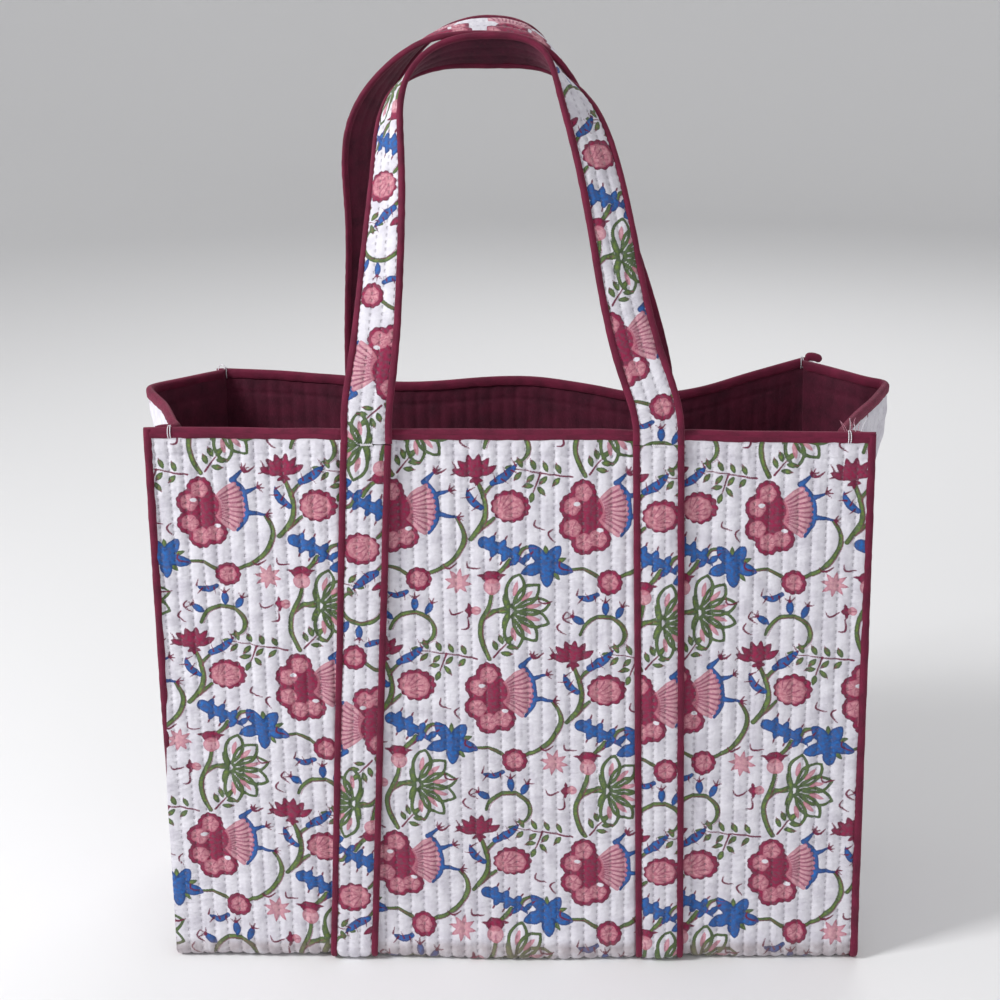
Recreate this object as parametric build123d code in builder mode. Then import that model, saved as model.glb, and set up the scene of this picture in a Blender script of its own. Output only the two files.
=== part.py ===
"""Quilted cotton knitting bag: an open-topped tote of printed cotton, wadding and lining, bound
with bias tape, with two bands of quilted strap that run right round it and carry two loop handles.

Frame: millimetres, +Z up, -Y is the front, the origin is under the middle of the bag, on the
surface that it stands on.
"""

from build123d import *
import os
from math import cos, radians, sin

os.makedirs("parts", exist_ok=True)

# The bag's walls. Offsets are measured inwards from the outer face of the printed cloth.
MOUTH_HEIGHT = 378.0
HALF_DEPTH = 85.0
BASE_HALF_WIDTH = 232.0
FRONT_MOUTH_HALF_WIDTH = 228.0
BACK_MOUTH_HALF_WIDTH = 213.0
GUSSET_BULGE_X = 250.0
GUSSET_BULGE_Y = -4.0
GUSSET_BASE_BULGE = 1.0
BASE_CORNER_RADIUS = 14.0
CLOTH = 0.6
WADDING = 2.0
WALL = 2 * CLOTH + WADDING

# Bias binding on the raw edges.
SEAM_BINDING_WIDTH = 6.0
SEAM_BINDING_PROUD = 1.5
MOUTH_BINDING_HEIGHT = 7.0
MOUTH_BINDING_CLOTH = 0.6
MOUTH_BINDING_GAP = 3.0
GUSSET_SLOPE_ROOM = 0.5
CLEARANCE = 0.1

# The strap: a quilted core between two bound edges.
STRAP_CORE_WIDTH = 23.6
STRAP_BINDING_WIDTH = 4.5
STRAP_BINDING_THICKNESS = 4.0
STRAP_CLOTH = 0.6
STRAP_WADDING = 1.6
STRAP_HALF_WIDTH = STRAP_CORE_WIDTH / 2 + CLEARANCE + STRAP_BINDING_WIDTH
BASE_LIFT = STRAP_BINDING_THICKNESS + CLEARANCE

# Each band's centre line: x at the front mouth, under the base and at the back mouth.
BAND_ROUTES = {"left": (-90.0, -109.0, -107.0), "right": (96.0, 99.0, 101.0)}

# The handles turn about the outer edge of the strap, just above the mouth.
HINGE_Z = 380.0
STRAP_MID_Y = HALF_DEPTH + CLEARANCE + STRAP_BINDING_THICKNESS / 2

# Each handle's middle line from its left foot to its right foot: x, y, z, and how far the
# printed face has turned from facing out of the bag (0) to facing out of the loop (90).
FRONT_HANDLE_ROUTE = [
    (-90, -STRAP_MID_Y, HINGE_Z, 0),
    (-86, -82, 418, 8),
    (-80, -60, 484, 25),
    (-76, -30, 557, 48),
    (-68, -9, 596, 72),
    (-45, -1, 610, 100),
    (-11, 1, 613, 115),
    (22, -2, 608, 100),
    (41, -13, 589, 62),
    (56, -32, 550, 33),
    (70, -57, 492, 20),
    (85, -81, 424, 8),
    (96, -STRAP_MID_Y, HINGE_Z, 0),
]
BACK_HANDLE_ROUTE = [
    (-107, STRAP_MID_Y, HINGE_Z, 0),
    (-105, 80, 430, 12),
    (-101, 56, 510, 32),
    (-97, 34, 570, 50),
    (-80, 22, 603, 72),
    (-50, 14, 626, 85),
    (-15, 11, 634, 90),
    (18, 15, 626, 85),
    (44, 27, 592, 66),
    (60, 44, 545, 45),
    (80, 68, 468, 25),
    (95, 83, 413, 8),
    (101, STRAP_MID_Y, HINGE_Z, 0),
]
FRONT_HANDLE_LEAN = -21.0
BACK_HANDLE_LEAN = 17.5
HANDLE_STEPS = 3

# Thread.
TACK_INSET = 13.0
TACK_WIDTH = 1.2
TACK_THREAD = 0.5
BAR_TACK_LENGTH = 7.0
BAR_TACK_WIDTH = 1.2
BAR_TACK_DROP = 6.0

FAR = 600.0


def save(part, node):
    """Labels one finished piece and writes it out."""
    part.label = node
    export_step(part, f"parts/{node}.step")


def wall_face(outer, inner, top=MOUTH_HEIGHT):
    """The U of the front wall, base and back wall in the YZ plane, between two offsets."""
    middle = (outer + inner) / 2
    y = HALF_DEPTH - middle
    z = BASE_LIFT + middle
    with BuildSketch(Plane.YZ) as face:
        with BuildLine():
            FilletPolyline((-y, top), (-y, z), (y, z), (y, top), radius=BASE_CORNER_RADIUS - middle)
        trace(line_width=inner - outer)
    return face.sketch_local


def slanted_prism(front_top, front_base, back_base, back_top):
    """Everything between slanting side lines, each given as (low x, high x): the front half
    between front_top and front_base, and the back half between back_base and back_top."""
    halves = ((front_top, front_base, 1), (back_top, back_base, -1))
    with BuildPart() as prism:
        for top, base, towards_front in halves:
            with BuildSketch(Plane.XZ):
                corners = [(top[0], MOUTH_HEIGHT), (base[0], 0), (base[1], 0), (top[1], MOUTH_HEIGHT)]
                rise = [(corners[0][0], FAR), (corners[3][0], FAR)]
                drop = [(corners[1][0], -FAR), (corners[2][0], -FAR)]
                Polygon(rise[0], corners[0], corners[1], drop[0], drop[1], corners[2], corners[3],
                        rise[1], align=None)
            extrude(amount=FAR * towards_front)
    return prism.part


def around_bag(outer, inner, prism, top=MOUTH_HEIGHT):
    """A layer that runs down the front, under the base and up the back, cut to a prism."""
    with BuildPart() as layer:
        with BuildSketch(Plane.YZ):
            add(wall_face(outer, inner, top))
        extrude(amount=FAR, both=True)
        add(prism, mode=Mode.INTERSECT)
    return layer.part


def mirrored(low, high, side):
    """A pair of x values on the left (side -1) or the right (side 1)."""
    return (low, high) if side > 0 else (-high, -low)


# Body: one piece of quilted cloth for the front, base and back, in three layers.
body_prism = slanted_prism(
    (-FRONT_MOUTH_HALF_WIDTH, FRONT_MOUTH_HALF_WIDTH),
    (-BASE_HALF_WIDTH, BASE_HALF_WIDTH),
    (-BASE_HALF_WIDTH, BASE_HALF_WIDTH),
    (-BACK_MOUTH_HALF_WIDTH, BACK_MOUTH_HALF_WIDTH),
)
LAYERS = {"print": (0, CLOTH), "wadding": (CLOTH, CLOTH + WADDING), "lining": (CLOTH + WADDING, WALL)}
for layer_name, (outer, inner) in LAYERS.items():
    save(around_bag(outer, inner, body_prism), f"body_{layer_name}")


def gusset_curves(side, inset, height_share):
    """The gusset's plan curve at the base (0) or the mouth (1), moved inwards by inset."""
    reach = HALF_DEPTH - WALL
    if height_share == 0:
        xs = (BASE_HALF_WIDTH, BASE_HALF_WIDTH + GUSSET_BASE_BULGE, BASE_HALF_WIDTH)
    else:
        xs = (FRONT_MOUTH_HALF_WIDTH, GUSSET_BULGE_X, BACK_MOUTH_HALF_WIDTH)
    ys = (-reach, GUSSET_BULGE_Y, reach)
    return [(side * (x - inset), y) for x, y in zip(xs, ys)]


def gusset_strip(side, outer, inner, height_share, z):
    """A curved strip in plan, between two insets from the gusset's outer face."""
    outside = gusset_curves(side, outer, height_share)
    inside = gusset_curves(side, inner, height_share)
    with BuildSketch(Plane.XY.offset(z)) as strip:
        with BuildLine():
            ThreePointArc(*outside)
            Line(outside[2], inside[2])
            ThreePointArc(*reversed(inside))
            Line(inside[0], outside[0])
        make_face()
    return strip.sketch


# Gussets: flat at the base and folded outwards at the mouth, inside the body's U.
with BuildPart() as bag_space:
    with BuildSketch(Plane.YZ):
        inner_half = HALF_DEPTH - WALL
        floor_z = BASE_LIFT + WALL
        with Locations((0, (floor_z + FAR) / 2)):
            RectangleRounded(2 * inner_half, FAR - floor_z, BASE_CORNER_RADIUS - WALL)
    extrude(amount=FAR, both=True)

for side_name, side in (("left", -1), ("right", 1)):
    for layer_name, (outer, inner) in LAYERS.items():
        with BuildPart() as gusset:
            with BuildSketch(Plane.XY):
                add(gusset_strip(side, outer, inner, 0, 0))
            with BuildSketch(Plane.XY.offset(MOUTH_HEIGHT)):
                add(gusset_strip(side, outer, inner, 1, 0))
            loft(ruled=True)
            add(bag_space.part, mode=Mode.INTERSECT)
        save(gusset.part, f"{side_name}_gusset_{layer_name}")

# Seam bindings: one strip of bias tape down the front corner, along the base and up the back.
for side_name, side in (("left", -1), ("right", 1)):
    edges = [
        mirrored(x, x + SEAM_BINDING_WIDTH, side)
        for x in (FRONT_MOUTH_HALF_WIDTH, BASE_HALF_WIDTH, BASE_HALF_WIDTH, BACK_MOUTH_HALF_WIDTH)
    ]
    seam = around_bag(-SEAM_BINDING_PROUD, WALL, slanted_prism(*edges), MOUTH_HEIGHT + CLOTH)
    save(seam, f"{side_name}_seam_binding")


def band_edges(route, low, high):
    """The x ranges of a strip that lies low to high from a band's centre line."""
    front, base, back = route
    return [(x + low, x + high) for x in (front, base, base, back)]


# Bands: the strap round the bag on each side, its core in three layers between two bound edges.
core_half = STRAP_CORE_WIDTH / 2
core_inner = -(CLEARANCE + STRAP_BINDING_THICKNESS) + 2 * STRAP_CLOTH + STRAP_WADDING
BAND_LAYERS = {
    "print": (-BASE_LIFT, -BASE_LIFT + STRAP_CLOTH),
    "wadding": (-BASE_LIFT + STRAP_CLOTH, core_inner - STRAP_CLOTH),
    "backing": (core_inner - STRAP_CLOTH, core_inner),
}
band_bindings = []
for side_name, route in BAND_ROUTES.items():
    core_prism = slanted_prism(*band_edges(route, -core_half, core_half))
    for layer_name, (outer, inner) in BAND_LAYERS.items():
        save(around_bag(outer, inner, core_prism), f"{side_name}_band_{layer_name}")
    for edge_name, low in (("left", -STRAP_HALF_WIDTH), ("right", core_half + CLEARANCE)):
        edge_prism = slanted_prism(*band_edges(route, low, low + STRAP_BINDING_WIDTH))
        edge = around_bag(-BASE_LIFT, -CLEARANCE, edge_prism)
        band_bindings.append(edge)
        save(edge, f"{side_name}_band_{edge_name}_binding")

# Mouth bindings: bias tape folded over the top edge of each wall.
for wall_name, towards_back, half_width in (
    ("front", -1, FRONT_MOUTH_HALF_WIDTH),
    ("back", 1, BACK_MOUTH_HALF_WIDTH),
):
    wall_middle = towards_back * (HALF_DEPTH - WALL / 2)
    with BuildPart() as mouth:
        top = MOUTH_HEIGHT + MOUTH_BINDING_CLOTH
        with BuildSketch(Plane.YZ):
            with Locations((wall_middle, top - MOUTH_BINDING_HEIGHT / 2)):
                Rectangle(WALL + 2 * MOUTH_BINDING_CLOTH, MOUTH_BINDING_HEIGHT)
            with Locations((wall_middle, MOUTH_HEIGHT / 2)):
                Rectangle(WALL, MOUTH_HEIGHT, mode=Mode.SUBTRACT)
        extrude(amount=half_width - WALL - 3 * CLEARANCE, both=True)
        add(band_bindings, mode=Mode.SUBTRACT)
    save(mouth.part, f"{wall_name}_mouth_binding")

for side_name, side in (("left", -1), ("right", 1)):
    with BuildPart() as mouth:
        low = MOUTH_HEIGHT + MOUTH_BINDING_CLOTH - MOUTH_BINDING_HEIGHT
        with BuildSketch(Plane.XY.offset(low)):
            reach = GUSSET_SLOPE_ROOM + MOUTH_BINDING_CLOTH
            add(gusset_strip(side, -reach, WALL + reach, 1, 0))
        extrude(amount=MOUTH_BINDING_HEIGHT)
        with BuildSketch(Plane.XY.offset(low)):
            add(gusset_strip(side, -GUSSET_SLOPE_ROOM, WALL + GUSSET_SLOPE_ROOM, 1, 0))
        extrude(amount=MOUTH_HEIGHT + CLEARANCE - low, mode=Mode.SUBTRACT)
        with BuildSketch(Plane.YZ):
            with Locations((0, MOUTH_HEIGHT)):
                reach = HALF_DEPTH - WALL - MOUTH_BINDING_GAP
                Rectangle(2 * reach, 4 * MOUTH_BINDING_HEIGHT)
        extrude(amount=FAR, both=True, mode=Mode.INTERSECT)
    save(mouth.part, f"{side_name}_mouth_binding")


def strap_plane(point, along, turn, lean, side):
    """The strap's cross-section plane at one point of a handle: its x runs across the strap to
    its back edge, its y is the printed face's normal and its z runs along the strap."""
    facing = Vector(0, side * cos(radians(lean)), sin(radians(abs(lean))))
    facing = (facing - along * facing.dot(along)).normalized()
    outward = along.cross(facing).normalized() * side
    normal = facing * cos(radians(turn)) + outward * sin(radians(turn))
    return Plane(origin=point, x_dir=normal.cross(along), z_dir=along)


def handle_planes(route, lean, side):
    """Cross-section planes along a handle, with steps between each two stations of its route."""
    middle_line = Spline(*[station[:3] for station in route], tangents=((0, 0, 1), (0, 0, -1)))
    planes = []
    for start, end in zip(route, route[1:]):
        u_start, u_end = (middle_line.param_at_point(station[:3]) for station in (start, end))
        for step in range(HANDLE_STEPS):
            share = step / HANDLE_STEPS
            u = u_start + share * (u_end - u_start)
            turn = start[3] + share * (end[3] - start[3])
            planes.append(strap_plane(middle_line @ u, middle_line % u, turn, lean, side))
    planes.append(strap_plane(middle_line @ 1, middle_line % 1, route[-1][3], lean, side))
    return planes


# Handles: loops of the same strap, standing up and leaning towards each other.
# Each layer's section: how far across the strap and out from its middle it lies, and its size.
face = STRAP_BINDING_THICKNESS / 2
wadding_out = face - STRAP_CLOTH - CLEARANCE - STRAP_WADDING / 2
backing_out = wadding_out - STRAP_WADDING / 2 - CLEARANCE - STRAP_CLOTH / 2
edge_across = core_half + CLEARANCE + STRAP_BINDING_WIDTH / 2
HANDLE_LAYERS = {
    "print": (0, face - STRAP_CLOTH / 2, STRAP_CORE_WIDTH, STRAP_CLOTH),
    "wadding": (0, wadding_out, STRAP_CORE_WIDTH, STRAP_WADDING),
    "backing": (0, backing_out, STRAP_CORE_WIDTH, STRAP_CLOTH),
    "back_edge_binding": (edge_across, 0, STRAP_BINDING_WIDTH, STRAP_BINDING_THICKNESS),
    "front_edge_binding": (-edge_across, 0, STRAP_BINDING_WIDTH, STRAP_BINDING_THICKNESS),
}
for handle_name, route, lean, side in (
    ("front", FRONT_HANDLE_ROUTE, FRONT_HANDLE_LEAN, -1),
    ("back", BACK_HANDLE_ROUTE, BACK_HANDLE_LEAN, 1),
):
    planes = handle_planes(route, lean, side)
    for layer_name, (across, out, width, thickness) in HANDLE_LAYERS.items():
        with BuildPart() as handle:
            for plane in planes:
                with BuildSketch(plane):
                    with Locations((across, out)):
                        Rectangle(width, thickness)
            loft(ruled=True)
        save(handle.part, f"{handle_name}_handle_{layer_name}")

# Corner tacks: a wrap of thread over the mouth binding near each corner.
for wall_name, towards_back, half_width in (
    ("front", -1, FRONT_MOUTH_HALF_WIDTH),
    ("back", 1, BACK_MOUTH_HALF_WIDTH),
):
    wall_middle = towards_back * (HALF_DEPTH - WALL / 2)
    bound = WALL + 2 * MOUTH_BINDING_CLOTH
    top = MOUTH_HEIGHT + MOUTH_BINDING_CLOTH
    for side_name, side in (("left", -1), ("right", 1)):
        with BuildPart() as tack:
            with BuildSketch(Plane.YZ.offset(side * (half_width - TACK_INSET))):
                with Locations((wall_middle, top + TACK_THREAD - MOUTH_BINDING_HEIGHT / 2)):
                    Rectangle(bound + 2 * TACK_THREAD, MOUTH_BINDING_HEIGHT)
                with Locations((wall_middle, top - MOUTH_BINDING_HEIGHT)):
                    Rectangle(bound, 2 * MOUTH_BINDING_HEIGHT, mode=Mode.SUBTRACT)
            extrude(amount=TACK_WIDTH / 2, both=True)
        save(tack.part, f"{wall_name}_{side_name}_corner_tack")

# Bar tacks: the stitching that holds the strap at the mouth, sunk through its printed face.
for side_name, route in BAND_ROUTES.items():
    for wall_name, towards_back, x in (("front", -1, route[0]), ("back", 1, route[2])):
        face_y = towards_back * (HALF_DEPTH + BASE_LIFT)
        with BuildPart() as bar_tack:
            with BuildSketch(Plane.XZ.offset(-face_y)):
                with Locations((x, MOUTH_HEIGHT - BAR_TACK_DROP)):
                    SlotOverall(BAR_TACK_LENGTH, BAR_TACK_WIDTH)
            extrude(amount=-towards_back * TACK_THREAD)
        save(bar_tack.part, f"{wall_name}_{side_name}_bar_tack")
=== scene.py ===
"""Quilted cotton knitting bag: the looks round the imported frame. Metres, +Z up, -Y is the front.

The printed cloth is one repeat of a half-drop floral block print, held as the distance to each
ink's edge, which every printed piece samples at its own place on the cloth.
"""

from math import cos, degrees, pi, radians, sin

import bpy
import numpy as np
from mathutils import Matrix, Vector


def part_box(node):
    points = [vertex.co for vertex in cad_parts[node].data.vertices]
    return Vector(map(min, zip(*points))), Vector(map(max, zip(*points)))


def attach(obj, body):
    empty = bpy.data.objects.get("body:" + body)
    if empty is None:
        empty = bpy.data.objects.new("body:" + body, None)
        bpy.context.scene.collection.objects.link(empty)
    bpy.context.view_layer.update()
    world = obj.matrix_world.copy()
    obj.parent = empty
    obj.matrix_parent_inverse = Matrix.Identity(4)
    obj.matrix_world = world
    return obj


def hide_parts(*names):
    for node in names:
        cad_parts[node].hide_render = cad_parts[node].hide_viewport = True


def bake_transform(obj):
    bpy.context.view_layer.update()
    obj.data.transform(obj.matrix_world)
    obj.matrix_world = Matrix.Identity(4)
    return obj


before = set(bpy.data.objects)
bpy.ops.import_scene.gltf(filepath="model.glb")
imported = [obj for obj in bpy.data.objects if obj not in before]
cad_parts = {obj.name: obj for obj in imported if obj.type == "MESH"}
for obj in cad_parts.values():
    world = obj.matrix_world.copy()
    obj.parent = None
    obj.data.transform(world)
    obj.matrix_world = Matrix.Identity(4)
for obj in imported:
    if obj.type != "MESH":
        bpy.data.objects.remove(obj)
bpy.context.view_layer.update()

MM = 0.001

# The walls, from the frame.
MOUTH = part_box("body_print")[1].z
HALF_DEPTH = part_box("body_print")[1].y
BASE_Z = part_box("body_print")[0].z
BASE_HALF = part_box("body_print")[1].x
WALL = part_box("body_lining")[0].z - BASE_Z + (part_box("body_print")[1].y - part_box("body_wadding")[1].y)
SEAM_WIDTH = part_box("right_seam_binding")[1].x - BASE_HALF
FRONT_HALF = 0.228
BACK_HALF = 0.213
EDGE_TUCK = 0.0016
CORNER = 0.0065
STRAIGHT = MOUTH - BASE_Z - CORNER
TURN = CORNER * pi / 2
FLAT = 2 * (HALF_DEPTH - CORNER)
ROUND_LENGTH = 2 * STRAIGHT + 2 * TURN + FLAT

FLOOR_GAP = 0.0002

# Cloth.
QUILT_PITCH = 0.0092
QUILT_FIRST = 0.0021
QUILT_RISE = 0.0010
LINING_RISE = 0.00045
STITCH_PITCH = 0.0046
STITCH_STAGGER = 0.0019
STITCH_HALF = 0.0011
HEM_ROW = 0.0165
HEM_STITCH = 0.0042
TAPE_HEIGHT = 0.0070
TAPE_THICK = 0.0054
TAPE_RISE = 0.0012
THREAD_RADIUS = 0.0003

# Straps.
STRAP_LIFT = 0.0021
STRAP_THICK = 0.0040
STRAP_FACE_HALF = 0.0121
STRAP_EDGE_WIDTH = 0.0046
STRAP_HALF = 0.0164
STRAP_QUILT_PITCH = 0.0079
BANDS = {"left": (-0.090, -0.1125, -0.107), "right": (0.096, 0.1005, 0.101)}
SEAM_Z = 0.3705
SEAM_DROP = MOUTH - SEAM_Z

# Each handle's middle line, left foot to right foot: x, y, z and how far, in degrees, the printed
# face has turned from facing out of the bag to facing out of the loop.
HANDLES = {
    "front": [
        (-0.090, -0.0871, 0.380, 0), (-0.086, -0.082, 0.418, 8), (-0.080, -0.060, 0.484, 25),
        (-0.076, -0.030, 0.557, 48), (-0.068, -0.009, 0.597, 72), (-0.045, -0.001, 0.613, 100),
        (-0.011, 0.001, 0.617, 115), (0.022, -0.002, 0.612, 100), (0.042, -0.013, 0.591, 56),
        (0.058, -0.032, 0.550, 27), (0.070, -0.057, 0.492, 18), (0.085, -0.081, 0.424, 8),
        (0.096, -0.0871, 0.380, 0),
    ],
    "back": [
        (-0.107, 0.0871, 0.380, 0), (-0.105, 0.080, 0.430, 12), (-0.101, 0.056, 0.510, 32),
        (-0.0955, 0.034, 0.570, 42), (-0.0755, 0.022, 0.603, 57), (-0.0465, 0.014, 0.626, 76),
        (-0.015, 0.011, 0.632, 90), (0.018, 0.015, 0.625, 85), (0.042, 0.027, 0.592, 66),
        (0.056, 0.044, 0.545, 45), (0.078, 0.068, 0.468, 25), (0.095, 0.083, 0.413, 8),
        (0.101, 0.0871, 0.380, 0),
    ],
}
HANDLE_LEAN = {"front": 21.0, "back": 17.5}

# How far the back wall's top edge has slumped, by x. It falls and leans in by a share of this.
BACK_SLUMP = [
    (-0.213, 0.0010), (-0.120, 0.0053), (-0.082, 0.0087), (-0.038, 0.0068), (0.011, 0.0049),
    (0.078, 0.0161), (0.116, 0.0187), (0.159, 0.0091), (0.213, -0.0050),
]
SLUMP_DOWN = 0.75
SLUMP_IN = 0.9

# How far the top edges stand above their nominal height, by x.
FRONT_LIFT = [(-0.235, 0.0095), (-0.150, 0.0080), (0.000, 0.0062), (0.120, 0.0045), (0.235, 0.0022)]
BACK_LIFT = [(-0.213, 0.0055), (-0.100, 0.0025), (0.100, 0.0020), (0.213, 0.0042)]

# The gussets' top edges in plan, from the front corner to the back one: |x| and y. Each is
# pinched to the front wall a little way in, and folds out to a point.
GUSSET_TOP = {
    "left": [
        (0.2275, -0.0815), (0.2215, -0.0768), (0.2165, -0.0755), (0.2180, -0.0700), (0.2240, -0.0540),
        (0.2300, -0.0370), (0.2370, -0.0180), (0.2450, -0.0010), (0.2530, 0.0160), (0.2570, 0.0260),
        (0.2578, 0.0330), (0.2555, 0.0390), (0.2500, 0.0460), (0.2400, 0.0560), (0.2220, 0.0740),
        (0.2130, 0.0815),
    ],
    "right": [
        (0.2275, -0.0815), (0.2205, -0.0768), (0.2155, -0.0755), (0.2165, -0.0715), (0.2210, -0.0610),
        (0.2290, -0.0430), (0.2380, -0.0250), (0.2480, -0.0060), (0.2560, 0.0120), (0.2620, 0.0260),
        (0.2640, 0.0345), (0.2625, 0.0382), (0.2560, 0.0425), (0.2440, 0.0520), (0.2240, 0.0710),
        (0.2130, 0.0815),
    ],
}


# Where the print lies on the cloth: the first big flower's centre on the body in millimetres, and
# how far the print has slipped down the cloth towards the base, by x.
FIRST_FLOWER = (-70.8, 54.0)
PRINT_SKEW = [(-0.232, 0.0155), (-0.190, 0.0135), (-0.068, 0.000), (0.060, -0.006), (0.232, -0.005)]

# Where a big flower's centre lies on the strap: how far it is from the strap's middle, how far
# below the mouth on the front bands, and how far up each leg of the handles. The handles' quilting
# has drawn the print up along them by HANDLE_EASE.
FLOWER_ASIDE = -0.008
FLOWER_DROP = {"left": 0.200, "right": 0.190}
FLOWER_RISE = {"left": 0.0535, "right": 0.066}
HANDLE_EASE = 1.08


# ---------------------------------------------------------------- curves, noise and meshes


def smooth(t):
    """0 to 1 with soft ends."""
    t = np.clip(t, 0, 1)
    return t * t * (3 - 2 * t)


def smooth_line(points, count, ends=None):
    """A cubic spline through points of any width, evenly sampled by chord length. ends are the
    first and last slopes, or else its ends are free."""
    p = np.array(points, float)
    n = len(p)
    if n == 2:
        return p[0] + np.linspace(0, 1, count)[:, None] * (p[1] - p[0])
    along = np.concatenate([[0], np.cumsum(np.linalg.norm(np.diff(p[:, :3], axis=0), axis=1))])
    h = np.diff(along)
    step = np.diff(p, axis=0) / h[:, None]
    a = np.zeros((n, n))
    b = np.zeros_like(p)
    for i in range(1, n - 1):
        a[i, i - 1:i + 2] = h[i], 2 * (h[i - 1] + h[i]), h[i - 1]
        b[i] = 3 * (h[i] * step[i - 1] + h[i - 1] * step[i])
    if ends is None:
        a[0, :2] = 2, 1
        a[-1, -2:] = 1, 2
        b[0] = 3 * step[0]
        b[-1] = 3 * step[-1]
    else:
        a[0, 0] = a[-1, -1] = 1
        b[0], b[-1] = ends
    slope = np.linalg.solve(a, b)
    at = np.linspace(0, along[-1], count)
    i = np.clip(np.searchsorted(along, at, "right") - 1, 0, n - 2)
    t = ((at - along[i]) / h[i])[:, None]
    hi = h[i][:, None]
    return ((1 + 2 * t) * (1 - t) ** 2 * p[i] + t * (1 - t) ** 2 * hi * slope[i]
            + t * t * (3 - 2 * t) * p[i + 1] + t * t * (t - 1) * hi * slope[i + 1])


def profile(table, x):
    """A smooth function of x through a table's points."""
    line = smooth_line(table, 400)
    return np.interp(x, line[:, 0], line[:, 1])


def noise(u, v, seed):
    """Smooth value noise from -1 to 1, a unit cell wide, the same each run."""
    table = np.random.default_rng(seed).uniform(-1, 1, (128, 128))
    iu, iv = np.floor(u).astype(int), np.floor(v).astype(int)
    fu, fv = smooth(u - iu), smooth(v - iv)
    iu, iv, ju, jv = iu % 128, iv % 128, (iu + 1) % 128, (iv + 1) % 128
    low = table[iu, iv] * (1 - fu) + table[ju, iv] * fu
    high = table[iu, jv] * (1 - fu) + table[ju, jv] * fu
    return low * (1 - fv) + high * fv


def unit(vectors):
    """Vectors of length 1."""
    return vectors / np.maximum(np.linalg.norm(vectors, axis=-1, keepdims=True), 1e-12)


def new_mesh(name, points, faces, uv):
    """A smooth-shaded object from numpy points, quads and a cloth coordinate for each point."""
    mesh = bpy.data.meshes.new(name)
    corners = faces.ravel()
    mesh.vertices.add(len(points))
    mesh.vertices.foreach_set("co", points.astype(np.float32).ravel())
    mesh.loops.add(len(corners))
    mesh.loops.foreach_set("vertex_index", corners.astype(np.int32))
    mesh.polygons.add(len(faces))
    mesh.polygons.foreach_set("loop_start", np.arange(0, len(corners), faces.shape[1], dtype=np.int32))
    layer = mesh.uv_layers.new(name="cloth")
    layer.data.foreach_set("uv", uv[corners].astype(np.float32).ravel())
    mesh.update(calc_edges=True)
    mesh.shade_smooth()
    made = bpy.data.objects.new(name, mesh)
    bpy.context.scene.collection.objects.link(made)
    return made


def grid_faces(rows, cols, ring=False):
    """Quads over a grid of points, its last column joined to its first for a ring."""
    index = np.arange(rows * cols).reshape(rows, cols)
    if ring:
        index = np.concatenate([index, index[:, :1]], axis=1)
    return np.stack([index[:-1, :-1], index[:-1, 1:], index[1:, 1:], index[1:, :-1]], -1).reshape(-1, 4)


def normals(grid):
    """The unit normals of a grid of points, along rows x columns."""
    return unit(np.cross(np.gradient(grid, axis=0), np.gradient(grid, axis=1)))


def on_floor(points):
    """Points with those that would sink into the floor pressed flat on it."""
    return np.concatenate([points[..., :2], np.maximum(points[..., 2:], FLOOR_GAP)], -1)


def cloth(name, grid, uv, flip=False):
    """A sheet of cloth from a grid of points."""
    grid = on_floor(grid)
    rows, cols = grid.shape[:2]
    faces = grid_faces(rows, cols)
    if flip:
        faces = faces[:, ::-1]
    return new_mesh(name, grid.reshape(-1, 3), faces, uv.reshape(-1, 2))


def rounded_section(width, height, steps=5):
    """A closed section like a rolled tape, width by height, rounded as far as it goes."""
    r = min(width, height) / 2 * 0.92
    points = []
    for centre, start in (((1, 1), 0), ((-1, 1), 90), ((-1, -1), 180), ((1, -1), 270)):
        for k in range(steps + 1):
            a = radians(start + 90 * k / steps)
            x = centre[0] * (width / 2 - r) + r * cos(a)
            y = centre[1] * (height / 2 - r) + r * sin(a)
            points.append((x, y))
    return np.array(points)


def swept(name, line, across, out, section, pucker=0.0, seed=1, rounded=0.0):
    """A closed tape or thread: a section carried along a line, with ends that are flat or rounded
    over a length. across and out are the section's two directions at each point."""
    rows, cols = len(line), len(section)
    along = np.concatenate([[0], np.cumsum(np.linalg.norm(np.diff(line, axis=0), axis=1))])
    round_way = np.linspace(0, 1, cols, endpoint=False)
    at, turn = np.broadcast_arrays(along[:, None], round_way[None])
    swell = 1 + pucker * noise(at / STITCH_PITCH, 5 * turn, seed)
    if rounded:
        end = np.clip(np.minimum(along, along[-1] - along) / rounded, 0, 1)
        swell = swell * np.sqrt(np.clip(1 - (1 - end) ** 2, 0.02, 1))[:, None]
    grid = (line[:, None] + across[:, None] * section[None, :, :1] * swell[..., None]
            + out[:, None] * section[None, :, 1:] * swell[..., None])
    girth = np.linalg.norm(section - np.roll(section, 1, axis=0), axis=1).sum()
    uv = np.stack(np.broadcast_arrays(round_way[None] * girth, along[:, None]), -1)
    points = on_floor(np.concatenate([grid.reshape(-1, 3), line[:1], line[-1:]]))
    uv = np.concatenate([uv.reshape(-1, 2), [[0, 0]], [[0, along[-1]]]])
    faces = grid_faces(rows, cols, ring=True)
    made = new_mesh(name, points, faces, uv)
    return cap_ends(made, rows, cols)


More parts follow.
